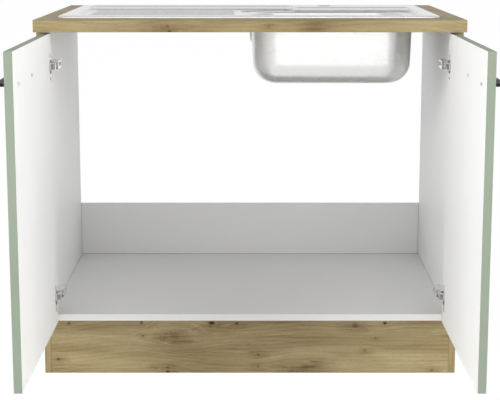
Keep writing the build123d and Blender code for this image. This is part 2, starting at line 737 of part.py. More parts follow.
# Doors, standing open at right angles to the front
FREE_EDGE = FRONT - DOOR_GAP - DOOR_WIDTH
GRIP_Z = DOOR_TOP - GRIP_DROP
GRIP_MID = FREE_EDGE + GRIP_END + GRIP_LENGTH / 2


def door():
    inner = -INNER + DOOR_FACE
    outer = inner - DOOR_THICK
    panel = block(outer, inner, FREE_EDGE, FRONT - DOOR_GAP, DOOR_BOTTOM, DOOR_TOP)
    panel = fillet(panel.faces().sort_by(Axis.X)[0].edges(), DOOR_EDGE)
    holes = []
    y = FRONT - DOOR_GAP - CUP_U
    for z in HINGE_Z:
        holes.append(rod_x(inner - CUP_DEPTH - 0.2, inner + 1, y, z, CUP_R + FIT))
        for side in (-1, 1):
            level = z + side * CUP_SCREW_Z
            ear = FRONT - DOOR_GAP - CUP_SCREW_U
            holes.append(rod_x(inner - 11.5, inner + 1, ear, level, 1.7 + FIT))
    for y in grip_screw_places():
        holes.append(rod_x(outer - 1, inner + 1, y, GRIP_Z, 2.0 + FIT))
    return panel.cut(*holes)


def grip_screw_places():
    return [GRIP_MID - GRIP_SCREWS / 2, GRIP_MID + GRIP_SCREWS / 2]


# Bow handle from flat bar, with a screw into each foot from inside the door
def handle():
    out = -INNER + OPEN_GAP
    y0 = GRIP_MID - GRIP_LENGTH / 2
    y1 = GRIP_MID + GRIP_LENGTH / 2
    half = GRIP_HEIGHT / 2
    bow = block(out - GRIP_REACH, out, y0, y1, GRIP_Z - half, GRIP_Z + half)
    bow = fillet(bow.edges().filter_by(Axis.Z).group_by(Axis.X)[0], 3.0)
    inside = GRIP_REACH - GRIP_BAR
    points = [(out + 1, y0 + GRIP_FOOT - 0.4), (out - inside, y0 + GRIP_FOOT + 7),
              (out - inside, y1 - GRIP_FOOT - 7), (out + 1, y1 - GRIP_FOOT + 0.4)]
    face = Polygon(*points, align=None)
    deep = face.vertices().group_by(Axis.X)[0]
    bow = bow - Pos(0, 0, GRIP_Z) * extrude(fillet(deep, 7), GRIP_HEIGHT, both=True)
    ridge = bow.edges().group_by(Axis.Z)
    bow = chamfer(list(ridge[0]) + list(ridge[-1]), 0.5)
    drill = [rod_x(out - 11, out + 1, y, GRIP_Z, 2.0 + FIT) for y in grip_screw_places()]
    return bow.cut(*drill)


def handle_screws():
    inner = -INNER + DOOR_FACE
    outer = inner - DOOR_THICK
    screws = []
    for y in grip_screw_places():
        head = rod_x(inner, inner + 2.4, y, GRIP_Z, 4.0)
        head = fillet(head.edges().group_by(Axis.X)[-1], 1.0)
        cross = joined([block(inner + 1.2, inner + 3, y - 2.2, y + 2.2, GRIP_Z - 0.45, GRIP_Z + 0.45),
                        block(inner + 1.2, inner + 3, y - 0.45, y + 0.45, GRIP_Z - 2.2, GRIP_Z + 2.2)])
        screws.append(joined([head, rod_x(outer - 10, inner, y, GRIP_Z, 2.0)]) - cross)
    return screws


# Every piece in its own file
def save_pair(name, pieces):
    save(name + "_left", group(pieces))
    save(name + "_right", group([piece.mirror(Plane.YZ) for piece in pieces]))


def save_hinges():
    for level, z in zip(("upper", "lower"), HINGE_Z):
        place = Pos(-INNER, FRONT, z)
        save_pair("hinge_plate_" + level, [place * mounting_plate()])
        save_pair("hinge_arm_" + level, [place * hinge_arm()])
        save_pair("hinge_lever_" + level, [place * lever()])
        save_pair("hinge_cup_" + level, [place * hinge_cup()])
    plate = [Pos(-INNER, FRONT, z) * screw for z in HINGE_Z for screw in plate_screw_pair()]
    arm = [Pos(-INNER, FRONT, z) * screw for z in HINGE_Z for screw in arm_screw_set()]
    save("plate_screws", group(both_sides(plate)))
    save("arm_screws", group(both_sides(arm)))
    save("arm_pins", group(both_sides(hinged(arm_pin))))
    save_pair("cup_pins", hinged(cup_pin))
    cup = [Pos(-INNER, FRONT, z) * screw for z in HINGE_Z for screw in cup_screw_pair()]
    save_pair("cup_screws", cup)


def main():
    os.makedirs("parts", exist_ok=True)
    save_pair("side_panel", [side_panel()])
    save("floor_board", floor_board())
    save("plinth_board", plinth_board())
    save("rear_top_rail", rear_top_rail())
    save("rear_strip", rear_strip())
    save("strip_nails", strip_nails())
    save("cam_discs", cam_discs())
    save("cam_bolts", cam_bolts())
    save("dowels", dowels())
    save("worktop", worktop())
    save("worktop_brackets", worktop_brackets())
    save("bracket_screws", bracket_screws())
    save("sink", sink())
    save("sink_seal", sink_seal())
    save("clamp_hangers", clamped(clamp_hanger))
    save("clamp_screws", clamped(clamp_screw))
    save("clamp_pads", clamped(clamp_pad))
    save_pair("door", [door()])
    save_pair("handle", [handle()])
    save_pair("handle_screws", handle_screws())
    save_hinges()


main()
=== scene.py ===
import math
import bpy
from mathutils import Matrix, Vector


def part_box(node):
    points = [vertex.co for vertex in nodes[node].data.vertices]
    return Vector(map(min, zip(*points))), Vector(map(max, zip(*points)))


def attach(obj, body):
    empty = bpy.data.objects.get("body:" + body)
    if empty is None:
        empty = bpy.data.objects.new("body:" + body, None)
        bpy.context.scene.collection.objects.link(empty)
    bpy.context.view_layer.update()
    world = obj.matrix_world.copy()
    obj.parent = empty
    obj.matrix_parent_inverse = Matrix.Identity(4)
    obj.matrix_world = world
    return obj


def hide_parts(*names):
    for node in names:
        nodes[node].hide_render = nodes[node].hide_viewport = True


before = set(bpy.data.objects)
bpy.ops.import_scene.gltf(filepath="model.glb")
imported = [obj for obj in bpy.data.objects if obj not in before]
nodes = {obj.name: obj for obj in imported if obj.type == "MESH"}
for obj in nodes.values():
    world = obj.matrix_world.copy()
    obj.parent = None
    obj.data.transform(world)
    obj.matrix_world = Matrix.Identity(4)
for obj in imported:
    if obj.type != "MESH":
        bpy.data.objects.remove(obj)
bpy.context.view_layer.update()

bpy.ops.object.select_all(action="DESELECT")


# ---------------------------------------------------------------------------
# Studio. A pale seamless floor in a white room that lights the object mostly
# from behind, with soft boxes at both sides and in front, as for a catalogue
# photograph. The camera looks slightly down on it from in front.

scene = bpy.context.scene
scene.view_settings.view_transform = "Standard"

LIGHT_IN_FRONT, LIGHT_BEHIND = 0.06, 1.12
LIGHT_OVERHEAD = 0.62
CEILING_SHADE = 0.55
FLOOR_SIZE, FLOOR_DROP = 80.0, 0.0004
FLOOR_WHITE = 0.95
FLOOR_GLOW, GLOW_SEEN = 1.06, 0.9


def node_tree(owner):
    owner.use_nodes = True
    owner.node_tree.nodes.clear()
    return owner.node_tree


def put(tree, kind, **values):
    node = tree.nodes.new(kind)
    for name, value in values.items():
        if hasattr(node, name):
            setattr(node, name, value)
        else:
            node.inputs[name.replace("_", " ")].default_value = value
    return node


def join(tree, source, target):
    tree.links.new(source, target)


def maths(tree, operation, first, second=None, third=None, clamp=False):
    node = put(tree, "ShaderNodeMath", operation=operation, use_clamp=clamp)
    for socket, value in zip(node.inputs, (first, second, third)):
        if isinstance(value, (int, float)):
            socket.default_value = value
        elif value is not None:
            join(tree, value, socket)
    return node.outputs[0]


def band(tree, value, low, high, out_low=0.0, out_high=1.0):
    """A smooth step from out_low, where the value is low, to out_high."""
    node = put(tree, "ShaderNodeMapRange", interpolation_type="SMOOTHSTEP",
               From_Min=low, From_Max=high, To_Min=out_low, To_Max=out_high)
    join(tree, value, node.inputs["Value"])
    return node.outputs[0]


def parted(tree, vector):
    """A vector's X, Y and Z."""
    node = put(tree, "ShaderNodeSeparateXYZ")
    join(tree, vector, node.inputs[0])
    return node.outputs


def seen_directly(tree):
    """1 where the camera, a mirror or clear glass looks, 0 for plain light."""
    path = put(tree, "ShaderNodeLightPath")
    either = maths(tree, "ADD", path.outputs["Is Camera Ray"], path.outputs["Is Glossy Ray"])
    return maths(tree, "ADD", either, path.outputs["Is Transmission Ray"], clamp=True)


world = bpy.data.worlds.new("studio_room")
scene.world = world
tree = node_tree(world)
sky = put(tree, "ShaderNodeBackground", Color=(1, 1, 1, 1))
towards = parted(tree, put(tree, "ShaderNodeTexCoord").outputs["Generated"])
front_to_back = band(tree, towards["Y"], -0.7, 0.7, LIGHT_IN_FRONT, LIGHT_BEHIND)
low_to_high = band(tree, towards["Z"], 0.1, 0.7, 1.0, LIGHT_OVERHEAD)
lighting = maths(tree, "MULTIPLY", front_to_back, low_to_high)
backdrop = band(tree, towards["Z"], 0.50, 0.93, 1.0, CEILING_SHADE)
seen = seen_directly(tree)
shown = maths(tree, "MULTIPLY", backdrop, seen)
cast = maths(tree, "MULTIPLY", lighting, maths(tree, "SUBTRACT", 1.0, seen))
join(tree, maths(tree, "ADD", shown, cast), sky.inputs["Strength"])
join(tree, sky.outputs[0], put(tree, "ShaderNodeOutputWorld").inputs["Surface"])

bpy.ops.mesh.primitive_plane_add(size=FLOOR_SIZE, location=(0, 0, -FLOOR_DROP))
floor = bpy.context.object
floor.name = "studio_floor"
floor_paint = bpy.data.materials.new("studio_floor_paint")
tree = node_tree(floor_paint)
plain = put(tree, "ShaderNodeBsdfDiffuse", Color=(FLOOR_WHITE, FLOOR_WHITE, FLOOR_WHITE, 1))
glow = put(tree, "ShaderNodeEmission", Color=(1, 1, 1, 1), Strength=FLOOR_GLOW)
both = put(tree, "ShaderNodeMixShader")
join(tree, maths(tree, "MULTIPLY", seen_directly(tree), GLOW_SEEN), both.inputs[0])
join(tree, plain.outputs[0], both.inputs[1])
join(tree, glow.outputs[0], both.inputs[2])
join(tree, both.outputs[0], put(tree, "ShaderNodeOutputMaterial").inputs["Surface"])
floor.data.materials.append(floor_paint)


def soft_box(name, place, target, size, power, mirrored=False):
    bpy.ops.object.light_add(type="AREA", location=place)
    lamp = bpy.context.object
    lamp.name = name
    lamp.data.shape = "RECTANGLE"
    lamp.data.size, lamp.data.size_y = size
    lamp.data.energy = power
    lamp.visible_camera = False
    lamp.visible_glossy = mirrored
    away = lamp.location - Vector(target)
    lamp.rotation_euler = away.to_track_quat("Z", "Y").to_euler()


LEFT_HIGH_WATTS, RIGHT_HIGH_WATTS = 12.0, 7.0
SIDE_WATTS, FRONT_WATTS = 152.0, 40.0
SMALL_BOX, SIDE_BOX, FRONT_BOX = (1.4, 1.4), (3.4, 3.0), (3.4, 2.2)
soft_box("left_high_box", (-1.8, -2.0, 2.0), (0, -0.3, 0.6), SMALL_BOX, LEFT_HIGH_WATTS)
soft_box("right_high_box", (1.8, -2.0, 2.0), (0, -0.3, 0.6), SMALL_BOX, RIGHT_HIGH_WATTS)
soft_box("left_side_box", (-4.45, -2.6, 1.6), (0, -0.2, 0.5), SIDE_BOX, SIDE_WATTS)
soft_box("right_side_box", (4.45, -2.6, 1.6), (0, -0.2, 0.5), SIDE_BOX, SIDE_WATTS)
soft_box("front_soft_box", (0, -4.6, 1.5), (0, 0, 0.75), FRONT_BOX, FRONT_WATTS, mirrored=True)

# The camera as fitted to the photograph, but with a far smaller shift, so that
# the views from other sides keep the object in their frame.
CAMERA_AWAY = 3.05799
CAMERA_HEIGHT = 1.05266
CAMERA_TILT = 9.46
CAMERA_SHIFT = -0.1
PICTURE_WIDTH = 500
FOCAL_PIXELS = 1284.02
SENSOR = 36.0
bpy.ops.object.camera_add(location=(0, -CAMERA_AWAY, CAMERA_HEIGHT),
                          rotation=(math.radians(90 - CAMERA_TILT), 0, 0))
camera = bpy.context.object
camera.data.sensor_width = SENSOR
camera.data.lens = SENSOR * FOCAL_PIXELS / PICTURE_WIDTH
camera.data.shift_y = CAMERA_SHIFT
camera.data.dof.use_dof = False
scene.camera = camera


# ---------------------------------------------------------------------------
# Side panels. Chipboard with printed and embossed oak paper outside and on the
# front edge, grain upright, white melamine inside, and bare back, top and foot.
# They stand on the floor and carry the rest.

def srgb(red, green, blue):
    """A colour read from 0 to 255, as the linear colour a shader takes."""
    linear = []
    for part in (red, green, blue):
        part = part / 255.0
        linear.append(part / 12.92 if part <= 0.04045 else ((part + 0.055) / 1.055) ** 2.4)
    return (*linear, 1.0)


OAK_LIGHT = srgb(189, 173, 134)
OAK_MID = srgb(170, 153, 114)
OAK_DARK = srgb(134, 115, 80)
OAK_KNOT = srgb(58, 44, 30)
OAK_STAIN_AND_SHADE = srgb(108, 83, 54)
WHITE_FACE = srgb(241, 241, 240)
WHITE_PATCH = srgb(238, 238, 236)
CHIP_LIGHT = srgb(186, 160, 122)
CHIP_DARK = srgb(120, 94, 64)
COLOUR, NUMBER, VECTOR = "NodeSocketColor", "NodeSocketFloat", "NodeSocketVector"


def blended(tree, factor, first, second):
    """The first colour where the factor is 0, the second where it is 1."""
    node = put(tree, "ShaderNodeMix", data_type="RGBA")
    for number, value in ((0, factor), (6, first), (7, second)):
        if isinstance(value, (int, float, tuple)):
            node.inputs[number].default_value = value
        else:
            join(tree, value, node.inputs[number])
    return node.outputs[2]


def vector_maths(tree, operation, *values):
    node = put(tree, "ShaderNodeVectorMath", operation=operation)
    for socket, value in zip(node.inputs, values):
        if isinstance(value, tuple):
            socket.default_value = value
        else:
            join(tree, value, socket)
    return node.outputs["Value" if operation == "LENGTH" else "Vector"]


def stretched(tree, vector, scale, place=(0, 0, 0), turn=(0, 0, 0)):
    node = put(tree, "ShaderNodeMapping", Location=place, Rotation=turn, Scale=scale)
    join(tree, vector, node.inputs["Vector"])
    return node.outputs[0]


def noise(tree, vector, scale, detail, rough):
    node = put(tree, "ShaderNodeTexNoise", Scale=scale, Detail=detail, Roughness=rough)
    join(tree, vector, node.inputs["Vector"])
    return node.outputs


def drawn_out(tree, vector, along, across, scale, detail, rough):
    """Noise with its own scale along X and across it."""
    return noise(tree, stretched(tree, vector, (along, across, across)), scale, detail, rough)


def group_tree(name, inputs, outputs):
    """A shader group with the named sockets, and its own two end nodes."""
    tree = bpy.data.node_groups.new(name, "ShaderNodeTree")
    for label, kind, value in inputs:
        socket = tree.interface.new_socket(name=label, in_out="INPUT", socket_type=kind)
        if value is not None:
            socket.default_value = value
    for label, kind in outputs:
        tree.interface.new_socket(name=label, in_out="OUTPUT", socket_type=kind)
    return tree, put(tree, "NodeGroupInput").outputs, put(tree, "NodeGroupOutput").inputs


def use_group(tree, group, **values):
    node = put(tree, "ShaderNodeGroup", node_tree=group)
    for name, value in values.items():
        if hasattr(value, "links"):
            join(tree, value, node.inputs[name])
        else:
            node.inputs[name].default_value = value
    return node.outputs


# Grain that runs along X: rings of the log cut by the face, clouds, long
# streaks and short pores. Knots darken it and push the lines round them.
# Its stain input darkens it: knot halos, and on the plinth painted shade too.
GRAIN_DRIFT = (0.0, 0.014, 0.014)
LOG_WANDER = (0.0, 0.08, 0.14)
RING_TURNS, RING_RAGGED = 620.0, 3.0
CLOUD_SHARE, STREAK_SHARE, RING_SHARE = 0.69, 0.25, 0.05

oak_grain, given, made = group_tree(
    "oak_grain",
    [("Vector", VECTOR, None), ("Knots", NUMBER, 0.0), ("Swirl", NUMBER, 0.0),
     ("Stain", NUMBER, 0.0)],
    [("Color", COLOUR), ("Roughness", NUMBER), ("Height", NUMBER)])
tree = oak_grain
drift = drawn_out(tree, given["Vector"], 1.4, 6.0, 1.7, 3.0, 0.55)["Color"]
pushed = vector_maths(tree, "MULTIPLY_ADD", drift, GRAIN_DRIFT, given["Vector"])
round_knots = put(tree, "ShaderNodeCombineXYZ")
join(tree, given["Swirl"], round_knots.inputs["Y"])
join(tree, given["Swirl"], round_knots.inputs["Z"])
grain = vector_maths(tree, "ADD", pushed, round_knots.outputs[0])
cloud = drawn_out(tree, grain, 1.2, 10.0, 1.9, 4.0, 0.55)["Fac"]
streak = drawn_out(tree, grain, 1.4, 50.0, 3.2, 3.0, 0.6)["Fac"]
fine = drawn_out(tree, grain, 6.0, 250.0, 2.0, 3.0, 0.65)["Fac"]
pore = drawn_out(tree, grain, 60.0, 800.0, 1.6, 1.0, 0.5)["Fac"]
wander = drawn_out(tree, given["Vector"], 1.1, 0.0, 1.5, 1.0, 0.5)["Color"]
log = vector_maths(tree, "MULTIPLY_ADD", wander, LOG_WANDER, grain)
out_from = vector_maths(tree, "LENGTH", vector_maths(tree, "MULTIPLY", log, (0.0, 1.0, 1.0)))
turn = maths(tree, "MULTIPLY", out_from, RING_TURNS)
turn = maths(tree, "ADD", turn, maths(tree, "MULTIPLY", streak, RING_RAGGED))
rings = maths(tree, "ADD", maths(tree, "MULTIPLY", maths(tree, "SINE", turn), 0.5), 0.5)
tone = maths(tree, "MULTIPLY", cloud, CLOUD_SHARE)
tone = maths(tree, "ADD", tone, maths(tree, "MULTIPLY", streak, STREAK_SHARE))
tone = maths(tree, "ADD", tone, maths(tree, "MULTIPLY", rings, RING_SHARE))
wood = blended(tree, band(tree, tone, 0.30, 0.53), OAK_DARK, OAK_MID)
wood = blended(tree, band(tree, tone, 0.47, 0.66), wood, OAK_LIGHT)
wood = blended(tree, band(tree, fine, 0.35, 0.65, 0.30, 0.0), wood, OAK_DARK)
wood = blended(tree, band(tree, pore, 0.60, 0.74, 0.0, 0.40), wood, OAK_KNOT)
patchy = band(tree, streak, 0.30, 0.62, 1.25, 0.55)
stain = maths(tree, "MULTIPLY", given["Stain"], patchy, clamp=True)
wood = blended(tree, stain, wood, OAK_STAIN_AND_SHADE)
join(tree, blended(tree, given["Knots"], wood, OAK_KNOT), made["Color"])
join(tree, band(tree, fine, 0.3, 0.7, 0.55, 0.42), made["Roughness"])
open_pores = maths(tree, "MULTIPLY", band(tree, pore, 0.60, 0.74), 0.8)
join(tree, maths(tree, "SUBTRACT", fine, open_pores), made["Height"])

# One knot: how dark it is, how its halo stains and how it pushes the grain.
KNOT_OVAL = (0.75, 1.0, 1.0)
HALO_OVAL = (0.42, 1.0, 1.0)

oak_knot, given, made = group_tree(
    "oak_knot",
    [("Vector", VECTOR, None), ("Place", VECTOR, (0, 0, 0)), ("Size", NUMBER, 0.01),
     ("Dark", NUMBER, 1.0), ("Halo", NUMBER, 0.5)],
    [("Mask", NUMBER), ("Stain", NUMBER), ("Swirl", NUMBER)])
tree = oak_knot
away = vector_maths(tree, "SUBTRACT", given["Vector"], given["Place"])
reach = vector_maths(tree, "LENGTH", vector_maths(tree, "MULTIPLY", away, KNOT_OVAL))
reach = maths(tree, "DIVIDE", reach, given["Size"])
core = band(tree, reach, 0.3, 1.0, 1.0, 0.0)
join(tree, maths(tree, "MULTIPLY", core, given["Dark"]), made["Mask"])
spread = vector_maths(tree, "LENGTH", vector_maths(tree, "MULTIPLY", away, HALO_OVAL))
spread = maths(tree, "DIVIDE", spread, given["Size"])
ring = band(tree, spread, 0.4, 3.6, 1.0, 0.0)
join(tree, maths(tree, "MULTIPLY", ring, given["Halo"]), made["Stain"])
aside = parted(tree, away)
aside = maths(tree, "ADD", aside["Y"], aside["Z"])
pull = band(tree, spread, 0.4, 5.0, -0.6, 0.0)
join(tree, maths(tree, "MULTIPLY", pull, aside), made["Swirl"])

# Edges a little paler, partly wear and partly a painted highlight where a rounded edge would
# catch light: how near a point lies to an edge of its board.
EDGE_PALE_FULLY, EDGE_PALE_TO, EDGE_PALE_RAGGED = 0.0006, 0.0018, 0.0016
EDGE_PALE_SHARE = 0.5

edge_wear_and_highlight, given, made = group_tree(
    "edge_wear_and_highlight",
    [("Vector", VECTOR, None), ("Centre", VECTOR, (0, 0, 0)), ("Half", VECTOR, (1, 1, 1))],
    [("Mask", NUMBER)])
tree = edge_wear_and_highlight
off_centre = vector_maths(tree, "SUBTRACT", given["Vector"], given["Centre"])
off_centre = vector_maths(tree, "ABSOLUTE", off_centre)
inset = parted(tree, vector_maths(tree, "SUBTRACT", given["Half"], off_centre))
nearer = maths(tree, "MINIMUM", inset["X"], inset["Y"])
further = maths(tree, "MAXIMUM", inset["X"], inset["Y"])
to_edge = maths(tree, "MAXIMUM", nearer, maths(tree, "MINIMUM", further, inset["Z"]))
uneven_edge = noise(tree, given["Vector"], 60.0, 3.0, 0.6)["Fac"]
to_edge = maths(tree, "ADD", to_edge, maths(tree, "MULTIPLY", uneven_edge, EDGE_PALE_RAGGED))
join(tree, band(tree, to_edge, EDGE_PALE_FULLY, EDGE_PALE_TO, 1.0, 0.0), made["Mask"])

# Bare chipboard on the edges that get no facing.
chipboard, given, made = group_tree(
    "chipboard_edge", [("Vector", VECTOR, None)], [("Color", COLOUR), ("Height", NUMBER)])
tree = chipboard
flakes = put(tree, "ShaderNodeTexVoronoi", Scale=420.0)
join(tree, given["Vector"], flakes.inputs["Vector"])
crumbs = noise(tree, given["Vector"], 900.0, 3.0, 0.6)["Fac"]
flake_tone = put(tree, "ShaderNodeSeparateColor")
join(tree, flakes.outputs["Color"], flake_tone.inputs[0])
chip = blended(tree, flake_tone.outputs[0], CHIP_DARK, CHIP_LIGHT)
join(tree, blended(tree, band(tree, crumbs, 0.35, 0.7, 0.5, 0.0), chip, CHIP_DARK), made["Color"])
join(tree, crumbs, made["Height"])

# White melamine: almost smooth, with a fine pearl texture.
melamine, given, made = group_tree(
    "white_melamine", [("Vector", VECTOR, None)],
    [("Color", COLOUR), ("Roughness", NUMBER), ("Height", NUMBER)])
tree = melamine
pearl = noise(tree, given["Vector"], 1400.0, 2.0, 0.55)["Fac"]
patch = noise(tree, given["Vector"], 5.0, 3.0, 0.5)["Fac"]
milky = band(tree, patch, 0.35, 0.7, 0.0, 0.35)
join(tree, blended(tree, milky, WHITE_FACE, WHITE_PATCH), made["Color"])
join(tree, band(tree, patch, 0.3, 0.7, 0.36, 0.46), made["Roughness"])
join(tree, pearl, made["Height"])


def board_material(name, gloss=0.2):
    """A new material, its nodes, its shader and the place of a point on the piece."""
    material = bpy.data.materials.new(name)
    tree = node_tree(material)
    shader = put(tree, "ShaderNodeBsdfPrincipled")
    shader.inputs["Specular IOR Level"].default_value = gloss
    join(tree, shader.outputs[0], put(tree, "ShaderNodeOutputMaterial").inputs["Surface"])
    return material, tree, shader, put(tree, "ShaderNodeTexCoord").outputs["Object"]


def bumped(tree, shader, height, strength, distance):
    bump = put(tree, "ShaderNodeBump", Strength=strength, Distance=distance)
    join(tree, height, bump.inputs["Height"])
    join(tree, bump.outputs[0], shader.inputs["Normal"])


KNOT_RAGGED = (0.008, 0.006, 0.006)


def knots(tree, vector, places):
    """A board's knots: the darkest and most stained at each point, and the summed push."""
    uneven = noise(tree, vector, 140.0, 3.0, 0.6)["Color"]
    ragged = vector_maths(tree, "MULTIPLY_ADD", uneven, KNOT_RAGGED, vector)
    centred = vector_maths(tree, "SUBTRACT", ragged, tuple(part / 2 for part in KNOT_RAGGED))
    dark = stain = swirl = None
    for x, y, z, size, darkness, halo in places:
        knot = use_group(tree, oak_knot, Vector=centred, Place=(x, y, z), Size=size,
                         Dark=darkness, Halo=halo)
        dark = knot["Mask"] if dark is None else maths(tree, "MAXIMUM", dark, knot["Mask"])
        stain = knot["Stain"] if stain is None else maths(tree, "MAXIMUM", stain, knot["Stain"])
        swirl = knot["Swirl"] if swirl is None else maths(tree, "ADD", swirl, knot["Swirl"])
    return dark, stain, swirl


def worn_and_highlit(tree, place, box, colour, paler):
    """The colour of a board that is paler along its box's edges, from wear and a painted
    highlight.
    """
    centre = tuple((low + high) / 2 for low, high in zip(*box))
    half = tuple((high - low) / 2 for low, high in zip(*box))
    mask = use_group(tree, edge_wear_and_highlight, Vector=place, Centre=centre, Half=half)["Mask"]
    return blended(tree, maths(tree, "MULTIPLY", mask, EDGE_PALE_SHARE), colour, paler)


def finish_node(name, material):
    nodes[name].data.materials.clear()
    nodes[name].data.materials.append(material)


# How far off a board's face, in metres, a point may lie and still belong to it.
FACING = 0.00003
EMBOSSING, EMBOSSED_DEPTH = 0.25, 0.0002
BARE_ROUGHER = 0.4
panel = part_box("side_panel_left")
side_inner, side_outer = abs(panel[1][0]), abs(panel[0][0])
carcass_front, carcass_back = panel[0][1], panel[1][1]
side_top = panel[1][2]
LOG_OFFSET = 0.37
PANEL_KNOTS = [
    (LOG_OFFSET + height, carcass_front + back, -side * side_outer, size, darkness, halo)
    for side, height, back, size, darkness, halo in (
        (1, 0.705, 0.130, 0.0080, 0.90, 0.60), (1, 0.690, 0.155, 0.0040, 0.60, 0.40),
        (1, 0.310, 0.365, 0.0100, 0.80, 0.60), (1, 0.520, 0.500, 0.0050, 0.70, 0.45),
        (1, 0.110, 0.200, 0.0045, 0.60, 0.40), (-1, 0.640, 0.410, 0.0090, 0.85, 0.60),
        (-1, 0.215, 0.150, 0.0065, 0.80, 0.50), (-1, 0.470, 0.285, 0.0040, 0.60, 0.40))
]

panel_oak, tree, shader, place = board_material("side_panel_oak_and_white")
split = parted(tree, place)
upright = stretched(tree, place, (1, 1, 1), place=(LOG_OFFSET, 0.0, 0.0),
                    turn=(0, math.radians(90), 0))
dark, stain, push = knots(tree, upright, PANEL_KNOTS)
oak = use_group(tree, oak_grain, Vector=upright, Knots=dark, Swirl=push, Stain=stain)
white = use_group(tree, melamine, Vector=place)
chips = use_group(tree, chipboard, Vector=place)
inside = maths(tree, "LESS_THAN", maths(tree, "ABSOLUTE", split["X"]), side_inner + FACING)
behind = maths(tree, "GREATER_THAN", split["Y"], carcass_back - FACING)
under = maths(tree, "LESS_THAN", split["Z"], FACING)
over = maths(tree, "GREATER_THAN", split["Z"], side_top - FACING)
raw = maths(tree, "MAXIMUM", maths(tree, "MAXIMUM", behind, under), over)
both_panels = ((-side_outer, *panel[0][1:]), (side_outer, *panel[1][1:]))
colour = worn_and_highlit(tree, place, both_panels, oak["Color"], OAK_LIGHT)
colour = blended(tree, inside, colour, white["Color"])
join(tree, blended(tree, raw, colour, chips["Color"]), shader.inputs["Base Color"])
rough = maths(tree, "ADD", oak["Roughness"], maths(tree, "MULTIPLY", raw, BARE_ROUGHER))
join(tree, rough, shader.inputs["Roughness"])
outside = maths(tree, "SUBTRACT", 1.0, inside)
bumped(tree, shader, maths(tree, "MULTIPLY", oak["Height"], outside), EMBOSSING, EMBOSSED_DEPTH)
for side in ("left", "right"):
    finish_node("side_panel_" + side, panel_oak)


# ---------------------------------------------------------------------------
# Plinth. A board of the same oak-faced chipboard with its grain lying flat,
# set between the side panels under the floor board. The knots are where the
# photograph shows them.

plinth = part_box("plinth_board")
PLINTH_KNOTS = [
    (x, plinth[0][1], z, size, darkness, halo) for x, z, size, darkness, halo in (
        (-0.439, 0.125, 0.0045, 0.75, 0.45), (-0.264, 0.127, 0.0045, 0.85, 0.40),
        (-0.093, 0.126, 0.0075, 1.00, 0.65), (-0.096, 0.117, 0.0030, 0.60, 0.30),
        (-0.032, 0.125, 0.0045, 0.80, 0.45), (-0.181, 0.091, 0.0110, 0.30, 0.80),
        (-0.150, 0.102, 0.0120, 0.00, 0.50), (-0.260, 0.094, 0.0035, 0.50, 0.45),
        (-0.467, 0.035, 0.0050, 0.75, 0.60), (-0.201, 0.014, 0.0040, 0.50, 0.50),
        (-0.201, 0.002, 0.0050, 0.95, 0.50), (-0.230, 0.012, 0.0030, 0.30, 0.40),
        (0.327, 0.126, 0.0055, 0.95, 0.35), (0.255, 0.121, 0.0090, 0.40, 0.80),
        (0.306, 0.088, 0.0030, 0.55, 0.30), (0.280, 0.057, 0.0040, 0.45, 0.40),
        (0.020, 0.046, 0.0040, 0.45, 0.40), (0.020, 0.015, 0.0040, 0.45, 0.40),
        (0.132, 0.012, 0.0120, 0.25, 0.75), (0.100, 0.003, 0.0080, 0.20, 0.60),
        (0.444, 0.007, 0.0045, 0.40, 0.50))
]
TOP_SHADE_FROM, TOP_SHADE_TO, TOP_SHADE_DARK = 0.07, 0.14, 0.38
JOINT_SOFT, JOINT_LINE, JOINT_DARK = 0.0016, 0.0003, 0.65


def joint_shadow(tree, value, edge):
    """Dark towards the line where this board meets the next."""
    return band(tree, value, edge - JOINT_SOFT, edge - JOINT_LINE, 0.0, JOINT_DARK)


plinth_oak, tree, shader, place = board_material("plinth_oak")
dark, stain, push = knots(tree, place, PLINTH_KNOTS)
split = parted(tree, place)
# Painted shade: the plinth darker towards its top, under the floor board, added to the knots'
# stain.
painted_top_shade = band(tree, split["Z"], TOP_SHADE_FROM, TOP_SHADE_TO, 0.0, TOP_SHADE_DARK)
stain = maths(tree, "MAXIMUM", stain, painted_top_shade)
oak = use_group(tree, oak_grain, Vector=place, Knots=dark, Swirl=push, Stain=stain)
chips = use_group(tree, chipboard, Vector=place)
sideways = maths(tree, "ABSOLUTE", split["X"])
ends = maths(tree, "GREATER_THAN", sideways, side_inner - FACING)
raw = maths(tree, "MAXIMUM", maths(tree, "LESS_THAN", split["Z"], FACING), ends)
colour = worn_and_highlit(tree, place, plinth, oak["Color"], OAK_LIGHT)
colour = blended(tree, joint_shadow(tree, sideways, side_inner), colour, OAK_KNOT)
join(tree, blended(tree, raw, colour, chips["Color"]), shader.inputs["Base Color"])
join(tree, oak["Roughness"], shader.inputs["Roughness"])
bumped(tree, shader, oak["Height"], EMBOSSING, EMBOSSED_DEPTH)
finish_node("plinth_board", plinth_oak)


# ---------------------------------------------------------------------------
# Floor board and rear top rail. Chipboard faced all over with white melamine
# but for its bare ends and back edge, held between the side panels by cams and
# dowels, with a fine dark line at each joint.

JOINT_GREY = srgb(110, 110, 108)
PEARL, PEARL_DEPTH = 0.08, 0.0001

